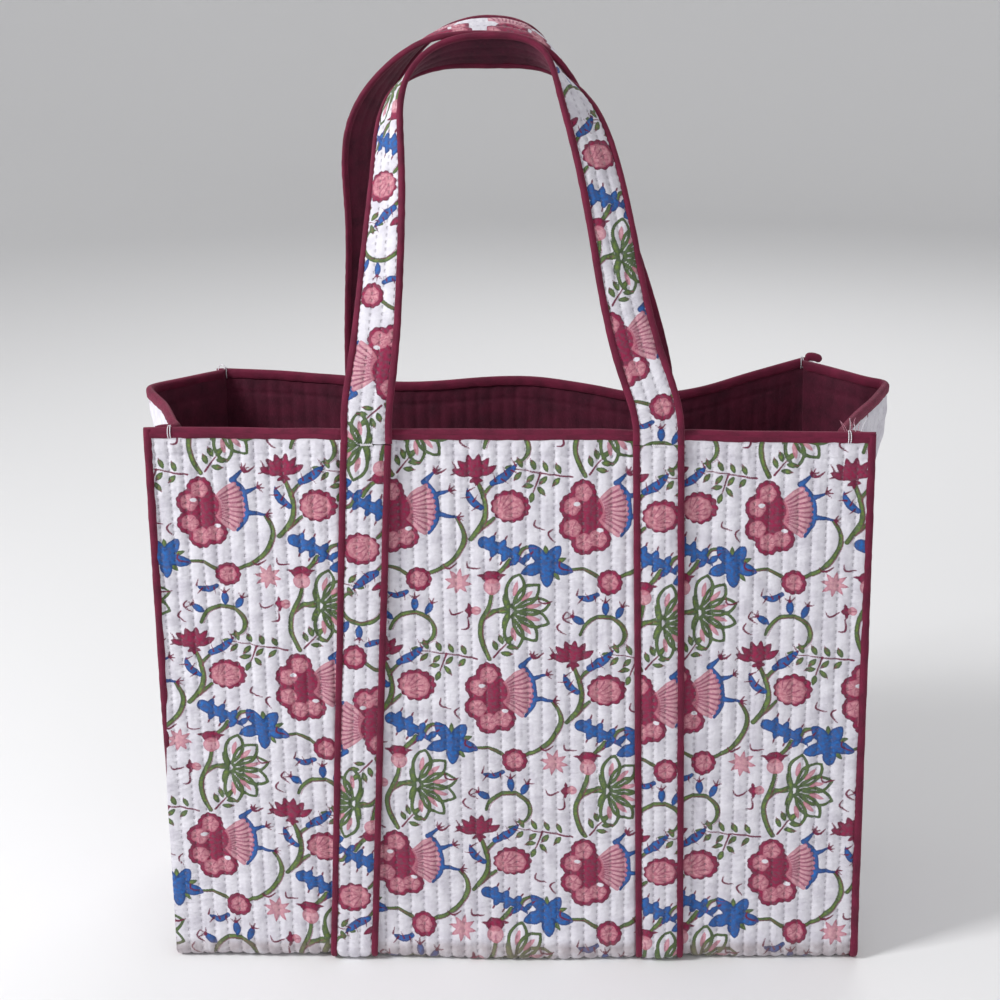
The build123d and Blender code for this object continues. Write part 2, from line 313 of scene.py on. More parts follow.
def cap_ends(made, rows, cols):
    """Closes a swept tape's two ends with fans to its last two points."""
    mesh = made.data
    ring = np.arange(cols)
    start, end = rows * cols, rows * cols + 1
    last = (rows - 1) * cols
    fans = [(start, b, a) for a, b in zip(ring, np.roll(ring, -1))]
    fans += [(end, last + a, last + b) for a, b in zip(ring, np.roll(ring, -1))]
    fans = np.array(fans)
    old = len(mesh.loops)
    faces = len(mesh.polygons)
    mesh.loops.add(fans.size)
    mesh.polygons.add(len(fans))
    corners = np.zeros(old + fans.size, np.int32)
    mesh.loops.foreach_get("vertex_index", corners)
    corners[old:] = fans.ravel()
    mesh.loops.foreach_set("vertex_index", corners)
    starts = np.zeros(faces + len(fans), np.int32)
    mesh.polygons.foreach_get("loop_start", starts)
    starts[faces:] = np.arange(old, old + fans.size, 3)
    mesh.polygons.foreach_set("loop_start", starts)
    mesh.update(calc_edges=True)
    mesh.validate()
    mesh.shade_smooth()
    return made


# ---------------------------------------------------------------- the print

REPEAT = (124.0, 257.0)
HALF_DROP = ((0.0, 0.0), (62.0, 128.5))
CELL = 0.4
INKS = ("green", "blue", "maroon", "pink", "line", "white")
FAR_INK = 3.0
WOBBLE = 0.45
WOBBLE_PITCH = 9


class Block:
    """One repeat of the print, in millimetres: the distance to each ink's edge, negative inside,
    on a grid that wraps. u runs across the cloth and v down it."""

    def __init__(self):
        self.cols, self.rows = (round(length / CELL) for length in REPEAT)
        self.ink = {name: np.full((self.rows, self.cols), FAR_INK) for name in INKS}

    def press(self, ink, u, v, reach, distance):
        """Adds a shape, distance(du, dv) from its centre, at both places of the half drop."""
        for drop_u, drop_v in HALF_DROP:
            cu, cv = (u + drop_u) / CELL, (v + drop_v) / CELL
            n = int((reach + 1.5) / CELL) + 1
            cols, rows = (np.arange(round(c) - n, round(c) + n + 1) for c in (cu, cv))
            du, dv = np.meshgrid((cols - cu) * CELL, (rows - cv) * CELL)
            place = np.ix_(rows % self.rows, cols % self.cols)
            self.ink[ink][place] = np.minimum(self.ink[ink][place], distance(du, dv))

    def stroke(self, ink, points, *widths):
        """A smooth line whose width changes evenly through the widths given."""
        points = np.array(points, float)
        length = np.linalg.norm(np.diff(points, axis=0), axis=1).sum()
        count = max(3, int(length / max(0.35, 0.3 * min(max(widths), 4))) + 1)
        line = smooth_line(points, count)
        stops = np.linspace(0, 1, len(widths))
        for (u, v), t in zip(line, np.linspace(0, 1, count)):
            r = np.interp(t, stops, widths) / 2
            self.press(ink, u, v, r, lambda du, dv: np.hypot(du, dv) - r)

    def leaf(self, ink, base, tip, width):
        """A pointed leaf from base to tip."""
        self.stroke(ink, [base, tip], 0.35 * width, 0.88 * width, width, 0.66 * width, 0.1)

    def stem(self, points, *widths):
        """A green stem with its dark outline printed a little off to one side."""
        self.stroke("green", points, *widths)
        aside = 0.42 * max(widths)
        self.stroke("line", [(u + aside, v + 0.6 * aside) for u, v in points], 0.7, 0.9, 0.6)

    def bloom(self, ink, centre, radii, petals=0, depth=0.0):
        """An oval with a scalloped edge."""
        ru, rv = radii

        def distance(du, dv):
            angle = np.arctan2(dv / rv, du / ru)
            edge = 1 - depth * (1 - np.abs(np.cos(petals * angle / 2)))
            return (np.hypot(du / ru, dv / rv) - edge) * min(ru, rv)

        self.press(ink, *centre, max(radii), distance)

    def bristles(self, points, length, spacing):
        """Short maroon hairs along a line, on its two sides by turns."""
        line = smooth_line(points, 60)
        along = np.concatenate([[0], np.cumsum(np.hypot(*np.diff(line, axis=0).T))])
        for k, at in enumerate(np.arange(spacing / 2, along[-1], spacing)):
            i = min(np.searchsorted(along, at), 58)
            du, dv = unit(line[i + 1] - line[i])
            way = (-1) ** k
            root = line[i]
            tip = root + length * np.array([way * dv * 0.95 + 0.3 * du, -way * du * 0.95 + 0.3 * dv])
            self.stroke("maroon", [root, tip], 1.4, 0.55)


def rays(centre, first, last, count, inner, outer):
    """Pairs of points on rays from a centre, their angles in degrees clockwise from the right as
    the cloth is seen."""
    for angle in np.radians(np.linspace(first, last, count)):
        way = np.array([cos(angle), sin(angle)])
        yield centre + inner * way, centre + outer * way


def tuft(block, base, way, length, count=4, spread=120):
    """Fine maroon hairs that spread about one direction."""
    for root, tip in rays(np.array(base), way - spread / 2, way + spread / 2, count, 0, length):
        block.stroke("maroon", [root, tip], 1.3, 0.8)


def rosette(block, centre, size, petals=5):
    """A round maroon flower with a pink heart."""
    block.bloom("maroon", centre, (size, 1.04 * size), petals=11, depth=0.09)
    block.bloom("pink", centre, (0.66 * size, 0.70 * size), petals=petals, depth=0.12)
    for root, tip in rays(np.array(centre), 15, 303, 5, 0.12 * size, 0.56 * size):
        block.stroke("line", [root, tip], 0.6, 0.9)


def posy(block):
    """The big flower: five rosettes round a striped pink fan, held in a blue calyx."""
    block.bloom("maroon", (-1, 0), (10, 17))
    for angle in range(-105, -306, -50):
        rosette(block, (-2 + 11 * cos(radians(angle)), 17.5 * sin(radians(angle))), 8.8)
    origin = np.array([-3.0, -5.0])
    for root, tip in rays(origin, -38, 40, 10, 11, 26):
        block.stroke("pink", [root, tip], 1.8, 3.4, 4.2, 3.0)
    for root, tip in rays(origin, -33.7, 35.7, 9, 12, 26):
        block.stroke("line", [root, tip], 0.9, 1.3)
    for centre in ((6, 9), (-9, -9)):
        block.bloom("white", centre, (2.2, 1.4))
    collar = [tip for _, tip in rays(origin, -44, 38, 6, 0, 28)]
    block.stroke("blue", collar, 2.0, 4.0, 3.2, 4.4, 2.0)
    for angle, reach in ((-44, 37), (-20, 38), (8, 41)):
        (root, tip), = rays(origin, angle, angle, 1, 27, reach)
        block.stroke("blue", [root, tip], 4.2, 3.0, 1.6)
        tuft(block, tip, angle, 4.5)


def carnation(block, centre, size, turn):
    """A pink flower with a fringe of maroon, its sepals towards turn."""
    centre = np.array(centre, float)
    (_, foot), = rays(centre, turn, turn, 1, 0, 0.7 * size)
    block.bloom("maroon", centre, (size, 0.88 * size), petals=13, depth=0.12)
    block.bloom("pink", centre + 0.16 * (foot - centre), (0.78 * size, 0.68 * size), petals=9, depth=0.06)
    for root, tip in rays(foot, turn + 130, turn + 230, 6, 0.35 * size, 1.0 * size):
        block.stroke("line", [root, tip], 0.6, 1.0)
    for root, tip in rays(foot, turn + 105, turn + 255, 5, 0, 0.5 * size):
        block.leaf("green", root, tip, 3.2)


def tulip(block, foot, size, turn):
    """A pointed maroon flower that opens towards turn."""
    foot = np.array(foot, float)
    (_, middle), = rays(foot, turn, turn, 1, 0, 0.4 * size)
    block.bloom("maroon", middle, (0.42 * size, 0.36 * size))
    for root, tip in rays(foot, turn - 62, turn + 62, 6, 0.3 * size, size):
        block.leaf("maroon", root, tip, 0.30 * size)
    for root, tip in rays(foot, turn + 115, turn + 245, 3, 0, 0.3 * size):
        block.leaf("maroon", root, tip, 0.18 * size)


def blue_star(block, centre, size, turn):
    """A blue flower with five long petals and short green sepals."""
    centre = np.array(centre, float)
    block.bloom("blue", centre, (0.45 * size, 0.40 * size))
    for k, (root, tip) in enumerate(rays(centre, turn, turn + 288, 5, 0.1 * size, size)):
        block.leaf("blue", root, root + (tip - root) * (1.0 - 0.12 * (k % 2)), 0.5 * size)
    for root, tip in rays(centre, turn + 36, turn + 180, 3, 0.2 * size, 0.8 * size):
        block.leaf("green", root, tip, 0.22 * size)


def bristled_leaf(block, points, width):
    """A long blue leaf with maroon bristles down both sides."""
    block.stroke("blue", points, 0.7 * width, width, 0.8 * width, 0.5)
    block.bristles(points, 0.5 * width + 3.0, 4.2)


def jagged_leaf(block, points, width):
    """A long blue leaf with a toothed edge."""
    block.stroke("blue", points, width, 0.9 * width, 0.6 * width, 0.8)
    line = smooth_line(points, 9)
    for k in range(1, 8):
        du, dv = unit(line[k + 1] - line[k]) * (1 if k % 2 else -1)
        tooth = line[k] + 0.95 * width * np.array([dv, -du])
        block.leaf("blue", line[k], tooth, 0.55 * width)
        block.stroke("maroon", [tooth, tooth + 2.4 * np.array([dv, -du])], 1.4, 0.9)


def pink_star(block, centre, size):
    """A small pink flower with eight points."""
    block.bloom("pink", centre, (0.5 * size, 0.5 * size))
    for root, tip in rays(np.array(centre, float), 10, 325, 8, 0, size):
        block.leaf("pink", root, tip, 0.36 * size)
        block.stroke("maroon", [0.2 * root + 0.8 * tip, tip], 1.2, 0.6)


def bud(block, foot, size, turn):
    """A pink bud under a maroon cap."""
    foot = np.array(foot, float)
    (near, far), = rays(foot, turn, turn, 1, 0.7 * size, 1.7 * size)
    block.bloom("pink", near, (0.85 * size, 0.85 * size))
    block.bloom("maroon", far, (size, 0.72 * size), petals=6, depth=0.08)
    for root, tip in rays(far, turn - 80, turn + 80, 2, 0.4 * size, 1.6 * size):
        block.leaf("maroon", root, tip, 2.2)
    block.stroke("line", [foot, near], 0.7, 0.9)


def water_lily(block, foot, size, turn):
    """A flower in green outline, its petals streaked with pink."""
    foot = np.array(foot, float)
    for k, (root, tip) in enumerate(rays(foot, turn - 78, turn + 78, 6, 0.12 * size, size)):
        way = tip - root
        aside = 0.24 * np.array([-way[1], way[0]])
        for bow in (aside, -aside):
            edge = [root, root + 0.5 * way + bow, root + 0.85 * way + 0.6 * bow, tip]
            block.stroke("green", edge, 1.6, 2.4, 2.2, 1.8)
        block.leaf("pink", root + 0.35 * way, root + 0.8 * way, 3.2)
    for root, tip in rays(foot, turn + 110, turn + 250, 3, 0, 0.5 * size):
        block.leaf("green", root, tip, 4.0)


def sprig(block, root, way, length, pairs):
    """A maroon stalk with pairs of small green leaves and one at its tip."""
    (start, end), = rays(np.array(root, float), way, way, 1, 0, length)
    block.stroke("maroon", [start, end], 1.4, 1.1, 0.9)
    for k in range(pairs):
        on_stalk = start + (end - start) * (k + 0.8) / (pairs + 0.3)
        for lean in (-58, 58):
            (base, tip), = rays(on_stalk, way + lean, way + lean, 1, 2.2, 9.4)
            block.leaf("green", base, tip, 3.8)
            block.stroke("line", [0.5 * (base + tip), tip], 0.6, 1.1)
    (base, tip), = rays(end, way, way, 1, 0.5, 8.0)
    block.leaf("green", base, tip, 3.8)


def curl(block, centre, radius, first, sweep):
    """A green stem that winds in to a hook, with blue buds outside the bend."""
    turn = np.linspace(0, 1, 10)
    angle = np.radians(first + sweep * turn)
    reach = radius * (1 - 0.62 * turn ** 2)
    points = np.stack([centre[0] + reach * np.cos(angle), centre[1] + reach * np.sin(angle)], -1)
    block.stem(points, 2.2, 3.2, 3.2, 3.4, 1.2)
    for k in (1, 3, 4):
        out = unit(points[k] - np.array(centre))
        way = degrees(np.arctan2(out[1], out[0]))
        block.leaf("blue", points[k] + 2.0 * out, points[k] + 11.5 * out, 5.2)
        tuft(block, points[k] + 10.0 * out, way, 4.5, count=3, spread=100)


def squiggle(block, at, way, length=9.0):
    """A loose curl of maroon."""
    a, b = cos(radians(way)), sin(radians(way))
    shape = ((0, 0), (0.35, 0.3), (0.7, 0.1), (1.0, -0.25))
    points = [(at[0] + length * (x * a - y * b), at[1] + length * (x * b + y * a)) for x, y in shape]
    block.stroke("maroon", points, 0.9, 1.4, 1.3, 0.8)


def flower_garden(block):
    """Every motif of the repeat and the stems that join them: millimetres across and down the
    cloth from the big flower's centre, turns in degrees."""
    posy(block)
    block.stem([(37, 1), (42, 12), (38, 26), (27, 37), (18, 41)], 2.6, 3.6, 3.4, 2.8)
    rosette(block, (12, 45), 8.6, petals=7)
    block.stem([(4, 41), (-6, 36), (-16, 37)], 2.8, 2.6, 2.0)
    bristled_leaf(block, [(4, 54), (-3, 57), (-10, 54)], 4.6)
    tulip(block, (50, -26), 17, -96)
    block.stem([(50, -26), (55, -12), (55, 2), (46, 16)], 2.8, 3.4, 3.8, 3.2)
    block.stem([(54, -13), (58, -19), (62, -23)], 2.6, 2.4)
    bristled_leaf(block, [(61, -23), (69, -28), (77, -36)], 6.4)
    bristled_leaf(block, [(53, -6), (47, -11), (44, -20)], 5.4)
    carnation(block, (72, -7), 13, 150)
    block.stem([(61, 1), (56, 6), (51, 11)], 2.4, 2.8, 3.0)
    jagged_leaf(block, [(55, 18), (64, 22), (73, 26), (82, 34)], 8.4)
    block.stem([(76, 30), (80, 22), (88, 21)], 2.2, 2.8, 2.4)
    block.stem([(71, 30), (67, 36), (62, 41)], 3.0, 3.2, 2.8)
    blue_star(block, (95, 33), 18, -128)
    pink_star(block, (38, 46), 9.5)
    bud(block, (60, 53), 6.4, -92)
    block.stem([(58, 100), (53, 88), (53, 74), (58, 62), (60, 53)], 3.4, 3.6, 3.2, 2.6)
    block.stem([(54, 72), (60, 67), (67, 64)], 3.2, 2.8, 2.4)
    water_lily(block, (71, 66), 27, 2)
    bud(block, (52, 66), 3.6, 178)
    sprig(block, (50, 101), 188, 36, 4)
    sprig(block, (30, 98), 110, 14, 1)
    sprig(block, (61, 99), -52, 13, 2)
    curl(block, (10, 85), 17, 190, 235)
    for at_u, at_v, way in (
        (-16, 66, 80), (32, 66, 20), (40, 80, -50), (88, 2, 60), (100, 8, 100), (28, 34, 10),
        (-20, 30, 60), (90, 56, 30), (104, 74, 80), (84, 96, 10), (96, 100, -70), (44, 32, 40),
    ):
        squiggle(block, (at_u, at_v), way)


BLOCK = Block()
flower_garden(BLOCK)


def ink(made, uv, seed=3, bare=0.0):
    """Gives a printed piece its distances to each ink's edge, from cloth coordinates in metres.
    bare is how far each point is from taking ink, 0 to 1."""
    u, v = uv.reshape(-1, 2).T / MM
    u = u + WOBBLE * noise(u / WOBBLE_PITCH, v / WOBBLE_PITCH, seed)
    v = v + WOBBLE * noise(u / WOBBLE_PITCH, v / WOBBLE_PITCH, seed + 1)
    col, row = (u - FIRST_FLOWER[0]) / CELL, (v - FIRST_FLOWER[1]) / CELL
    i, j = np.floor(col).astype(int), np.floor(row).astype(int)
    fu, fv = col - i, row - j
    i, i2, j, j2 = i % BLOCK.cols, (i + 1) % BLOCK.cols, j % BLOCK.rows, (j + 1) % BLOCK.rows
    values = []
    for name in INKS:
        f = BLOCK.ink[name]
        near = f[j, i] * (1 - fu) + f[j, i2] * fu
        far = f[j2, i] * (1 - fu) + f[j2, i2] * fu
        values.append(near * (1 - fv) + far * fv + 3 * FAR_INK * bare)
    for name, three in (("ink_a", values[:3]), ("ink_b", values[3:])):
        layer = made.data.attributes.new(name, "FLOAT_VECTOR", "POINT")
        layer.data.foreach_set("vector", np.stack(three, -1).astype(np.float32).ravel())


# ---------------------------------------------------------------- materials


def colour(red, green, blue):
    """A display colour, 0 to 255, as linear light."""
    def linear(c):
        c /= 255
        return c / 12.92 if c <= 0.04045 else ((c + 0.055) / 1.055) ** 2.4
    return (linear(red), linear(green), linear(blue), 1.0)


class Shader:
    """A material being built, with short names for the nodes that this scene uses."""

    def __init__(self, name, roughness, sheen=0.0, sheen_tint=(1, 1, 1, 1)):
        self.material = bpy.data.materials.new(name)
        self.material.use_nodes = True
        self.tree = self.material.node_tree
        self.surface = self.tree.nodes["Principled BSDF"]
        self.surface.inputs["Roughness"].default_value = roughness
        self.surface.inputs["Sheen Weight"].default_value = sheen
        self.surface.inputs["Sheen Tint"].default_value = sheen_tint
        self.surface.inputs["Specular IOR Level"].default_value = 0.3
        self.uv = self.node("ShaderNodeUVMap", uv_map="cloth").outputs[0]

    def node(self, kind, inputs=(), **settings):
        made = self.tree.nodes.new(kind)
        for key, value in settings.items():
            setattr(made, key, value)
        for key, value in dict(inputs).items():
            if isinstance(value, bpy.types.NodeSocket):
                self.tree.links.new(value, made.inputs[key])
            else:
                made.inputs[key].default_value = value
        return made

    def math(self, operation, a, b=0.0, c=0.0, clamp=False):
        made = self.node("ShaderNodeMath", {0: a, 1: b, 2: c}, operation=operation, use_clamp=clamp)
        return made.outputs[0]

    def mix(self, share, a, b):
        """Colour a where share is 0 and b where it is 1."""
        node = self.node("ShaderNodeMix", {0: share, 6: a, 7: b}, data_type="RGBA")
        return node.outputs[2]

    def ramp(self, value, low, high):
        """0 to 1 as value goes from low to high, with soft ends."""
        inputs = {0: value, 1: low, 2: high, 3: 0.0, 4: 1.0}
        return self.node("ShaderNodeMapRange", inputs, interpolation_type="SMOOTHSTEP").outputs[0]

    def scaled(self, by):
        """The cloth coordinates, times a scale for each way."""
        return self.node("ShaderNodeVectorMath", {0: self.uv, 1: by}, operation="MULTIPLY").outputs[0]

    def noise(self, by, detail=2.0):
        inputs = {"Vector": self.scaled(by), "Scale": 1.0, "Detail": detail}
        return self.node("ShaderNodeTexNoise", inputs).outputs[0]

    def weave(self, pitch):
        """Plain weave: the height of threads that cross, pitch metres apart."""
        parts = self.node("ShaderNodeSeparateXYZ", {0: self.scaled((pi / pitch, pi / pitch, 0))})
        warp = self.math("ABSOLUTE", self.math("SINE", parts.outputs[0]))
        weft = self.math("ABSOLUTE", self.math("SINE", parts.outputs[1]))
        over = self.math("SINE", self.math("ADD", parts.outputs[0], parts.outputs[1]))
        pick = self.ramp(over, -0.4, 0.4)
        turned = self.math("SUBTRACT", 1.0, pick)
        return self.math("ADD", self.math("MULTIPLY", warp, pick), self.math("MULTIPLY", weft, turned))

    def bump(self, height, strength, distance, under=None):
        inputs = {"Height": height, "Strength": strength, "Distance": distance}
        if under is not None:
            inputs["Normal"] = under
        return self.node("ShaderNodeBump", inputs).outputs[0]

    def finish(self, base, rough, normal):
        self.tree.links.new(base, self.surface.inputs["Base Color"])
        self.tree.links.new(rough, self.surface.inputs["Roughness"])
        self.tree.links.new(normal, self.surface.inputs["Normal"])
        return self.material


GROUND = colour(222, 220, 228)
GROUND_SHADE = colour(204, 201, 211)
STITCH_SHADE = colour(150, 146, 158)
# Colour of the painted shade where the cloth turns under at the base.
PAINTED_BASE_SHADE = colour(128, 108, 104)
INK_COLOURS = {
    "green": (colour(116, 140, 62), colour(62, 84, 44)),
    "blue": (colour(28, 104, 182), colour(18, 58, 120)),
    "maroon": (colour(148, 18, 68), colour(104, 10, 52)),
    "pink": (colour(216, 158, 166), colour(184, 108, 126)),
    "line": (colour(126, 34, 78), colour(126, 34, 78)),
    "white": (GROUND, GROUND),
}


def stitch_rows(s, pitch, first):
    """1 where running stitch pulls the cloth in, along rows down the cloth, and 0 elsewhere."""
    parts = s.node("ShaderNodeSeparateXYZ", {0: s.uv})
    row = s.math("MULTIPLY_ADD", parts.outputs[0], 1 / pitch, 0.5 - first / pitch)
    number = s.math("FLOOR", row)
    aside = s.math("ABSOLUTE", s.math("SUBTRACT", s.math("SUBTRACT", row, number), 0.5))
    near = s.ramp(aside, 0.0009 / pitch, 0.0002 / pitch)
    step = s.math("MULTIPLY", s.math("FLOORED_MODULO", number, 3.0), STITCH_STAGGER)
    phase = s.math("MULTIPLY", s.math("ADD", parts.outputs[1], step), 2 * pi / STITCH_PITCH)
    down = s.ramp(s.math("COSINE", phase), 0.0, 0.7)
    return s.math("MULTIPLY", near, down)


def printed_cotton(name, pitch, first, base_shade_from=None):
    """White cotton with the block print: inks a little uneven, darker at their edges, and rows of quilting
    stitch. Past a given distance down each wall, towards the base, it carries painted shade, blotchy and
    brownish, where the cloth turns under."""
    s = Shader(name, 0.8, sheen=0.15)
    weave = s.weave(0.00042)
    slub = s.noise((1400, 160, 1))
    wash = s.noise((90, 90, 1), 3.0)
    grain = s.noise((1500, 1500, 1), 3.0)
    patch = s.noise((420, 420, 1), 2.0)
    base = s.mix(s.ramp(wash, 0.35, 0.7), GROUND, GROUND_SHADE)
    distances = []
    for attribute in ("ink_a", "ink_b"):
        layer = s.node("ShaderNodeAttribute", attribute_name=attribute, attribute_type="GEOMETRY")
        parts = s.node("ShaderNodeSeparateXYZ", {0: layer.outputs["Vector"]})
        distances += [parts.outputs[0], parts.outputs[1], parts.outputs[2]]
    ragged = s.math("MULTIPLY_ADD", grain, 0.9, -0.45)
    for ink_name, distance in zip(INKS, distances):
        middle, rim = INK_COLOURS[ink_name]
        edge = s.math("ADD", distance, ragged)
        depth = s.ramp(distance, -1.5, -0.1)
        uneven = s.ramp(patch, 0.25, 0.75)
        tone = s.mix(depth, s.mix(uneven, middle, rim), rim)
        cover = s.ramp(edge, 0.30, -0.20)
        strength = {"pink": 0.95, "line": 0.8}.get(ink_name, 1.08)
        thin = s.math("MULTIPLY", cover, s.math("MULTIPLY_ADD", patch, -0.20, strength, clamp=True))
        base = s.mix(thin, base, tone)
    # Painted shade in the weave's hollows, between the raised threads.
    lit = s.ramp(weave, 0.0, 1.4)
    base = s.mix(s.math("MULTIPLY", s.math("SUBTRACT", 1.0, lit), 0.10), base, colour(96, 86, 100))
    stitch = stitch_rows(s, pitch, first)
    # Painted shade in the stitch dimples, where the thread pulls the cloth in.
    base = s.mix(s.math("MULTIPLY", stitch, 0.20), base, STITCH_SHADE)
    # Painted shade at the base, where the cloth turns under: blotchy and brownish, down each wall.
    if base_shade_from:
        down = s.node("ShaderNodeSeparateXYZ", {0: s.uv}).outputs[1]
        down = s.math("MINIMUM", down, s.math("SUBTRACT", ROUND_LENGTH, down))
        low = s.math("MULTIPLY", s.ramp(down, base_shade_from, base_shade_from + 0.007), s.ramp(wash, 0.05, 0.60))
        base = s.mix(s.math("MULTIPLY", low, 0.52), base, PAINTED_BASE_SHADE)
    rough = s.math("MULTIPLY_ADD", slub, 0.12, 0.74)
    puckers = s.bump(s.noise((230, 420, 1), 3.0), 0.8, 0.0010)
    pulled = s.bump(s.math("SUBTRACT", 1.0, stitch), 0.9, 0.0006, puckers)
    return s.finish(base, rough, s.bump(weave, 0.35, 0.00012, pulled))


def maroon_cotton(name, light, dark, pitch):
    """Dyed plain cotton: woven threads, faded a little where it is handled."""
    s = Shader(name, 0.8, sheen=0.25, sheen_tint=colour(200, 120, 140))
    weave = s.weave(pitch)
    slub = s.noise((1300, 180, 1))
    wash = s.noise((70, 70, 1), 3.0)
    thread = s.noise((2600, 420, 1), 2.0)
    base = s.mix(s.ramp(wash, 0.3, 0.75), light, dark)
    base = s.mix(s.math("MULTIPLY", s.ramp(thread, 0.45, 0.8), 0.3), base, colour(140, 50, 82))
    # Painted shade in the weave's hollows, between the raised threads.
    base = s.mix(s.math("MULTIPLY", s.math("SUBTRACT", 1.0, s.ramp(weave, 0.0, 1.2)), 0.5), base, dark)
    rough = s.math("MULTIPLY_ADD", slub, 0.14, 0.72)
    normal = s.bump(weave, 0.5, 0.00014, s.bump(s.noise((300, 300, 1), 3.0), 0.5, 0.0004))
    return s.finish(base, rough, normal)


def sewing_thread(name, light, dark):
    """Two-ply thread: a twist round its length and a little fluff."""
    s = Shader(name, 0.7, sheen=0.3)
    parts = s.node("ShaderNodeSeparateXYZ", {0: s.scaled((2400, 4200, 0))})
    twist = s.math("SINE", s.math("ADD", parts.outputs[0], parts.outputs[1]))
    fluff = s.noise((3000, 900, 1), 2.0)
    # The twist's light and dark are painted light and shade along the plies.
    base = s.mix(s.ramp(twist, -1.0, 1.0), dark, light)
    rough = s.math("MULTIPLY_ADD", fluff, 0.2, 0.6)
    return s.finish(base, rough, s.bump(twist, 0.6, 0.0001))


def pale_floor():
    """The studio floor: smooth pale paper."""
    made = bpy.data.materials.new("studio_floor")
    made.use_nodes = True
    surface = made.node_tree.nodes["Principled BSDF"]
    surface.inputs["Base Color"].default_value = (0.80, 0.80, 0.81, 1)
    surface.inputs["Roughness"].default_value = 0.9
    return made


# The body's print carries painted shade over its base.
PRINT = printed_cotton("printed_cotton", QUILT_PITCH, QUILT_FIRST, base_shade_from=STRAIGHT - 0.0080)
GUSSET_PRINT = printed_cotton("printed_gusset_cotton", QUILT_PITCH, QUILT_FIRST)
STRAP_COTTON = printed_cotton("printed_strap_cotton", STRAP_QUILT_PITCH, STRAP_QUILT_PITCH / 2)
LINING = maroon_cotton("lining_cotton", colour(90, 23, 48), colour(62, 14, 34), 0.00045)
# A darker copy of the lining cotton: painted shade for the front handle's underside.
SHADED_HANDLE_LINING = maroon_cotton("shaded_handle_lining_cotton", colour(74, 19, 42), colour(50, 12, 30), 0.00045)
BINDING = maroon_cotton("bias_binding", colour(114, 23, 56), colour(82, 15, 41), 0.00036)
WHITE_THREAD = sewing_thread("white_thread", colour(240, 238, 242), colour(196, 192, 202))
PINK_THREAD = sewing_thread("pink_thread", colour(206, 150, 166), colour(170, 104, 126))


def dress(piece, material, slot, body, *nodes):
    """Gives a finished piece its material and the body it rides on, and hides the CAD nodes that it stands
    for. slot is not used."""
    piece.data.materials.append(material)
    if body:
        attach(piece, body)
    if nodes:
        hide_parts(*nodes)


# ---------------------------------------------------------------- the walls


def quilt(u, v, pitch, rise, seed, first=0.0):
    """How far quilted cloth stands out at cloth coordinates u and v: padded ridges between rows
    of running stitch, dimpled at each stitch and puckered across the rows."""
    row = (u - first) / pitch
    off = np.abs(row - np.round(row)) * 2
    number = np.round(row)
    loft = 1 + 0.35 * noise(v / 0.013, number * 1.7, seed + 1) + 0.30 * noise(u / 0.05, v / 0.06, seed + 5)
    ridge = 0.75 * rise * (1 - (1 - off) ** 2.0) * loft
    stitch = (v + STITCH_STAGGER * (number % 3)) / STITCH_PITCH
    down = 0.5 + 0.5 * np.cos(2 * pi * stitch)
    near = np.exp(-((row - number) * pitch / STITCH_HALF) ** 2)
    pucker = 0.22 * rise * noise(v / 0.0034, number * 3.1 + 0.3 * row, seed + 2) * (1 - 0.6 * off)
    rumple = (0.45 * rise * noise(u / 0.030, v / 0.0085, seed + 3)
              + 0.40 * rise * noise(u / 0.013, v / 0.014, seed + 4))
    return ridge - near * (0.15 + 0.45 * down) * rise + pucker + rumple


def wall_half(z, front):
    """Half the width of the front or back wall at height z."""
    top = np.where(front, FRONT_HALF, BACK_HALF)
    return BASE_HALF + (top - BASE_HALF) * np.clip(z / MOUTH, 0, 1)


def round_bag(v, inset):
    """The wall's line down the front, under the base and up the back, v from the front's top edge,
    moved inwards by inset: y, z and the direction that faces out of the bag."""
    r = CORNER - inset
    a = np.clip((v - STRAIGHT) / TURN, 0, 1) * pi / 2
    b = np.clip((v - STRAIGHT - TURN - FLAT) / TURN, 0, 1) * pi / 2
    floor_way = np.clip(v - STRAIGHT - TURN, 0, FLAT)
    up = np.clip(v - ROUND_LENGTH + STRAIGHT, 0, STRAIGHT)
    back = v > STRAIGHT + TURN + FLAT / 2
    y = np.where(back, HALF_DEPTH - CORNER + r * np.sin(b), -HALF_DEPTH + CORNER - r * np.cos(a) + 0 * v)
    y = np.where(back, y, y + floor_way)
    y = np.where(back & (b <= 0), -HALF_DEPTH + CORNER + floor_way, y)
    z = np.where(back, BASE_Z + CORNER - r * np.cos(b) + up, BASE_Z + CORNER - r * np.sin(a)
                 + np.clip(STRAIGHT - v, 0, None))
    out_y = np.where(back, np.sin(b), -np.cos(a))
    out_z = np.where(back, -np.cos(b), -np.sin(a))
    return y, z, np.stack([0 * y, out_y, out_z], -1)


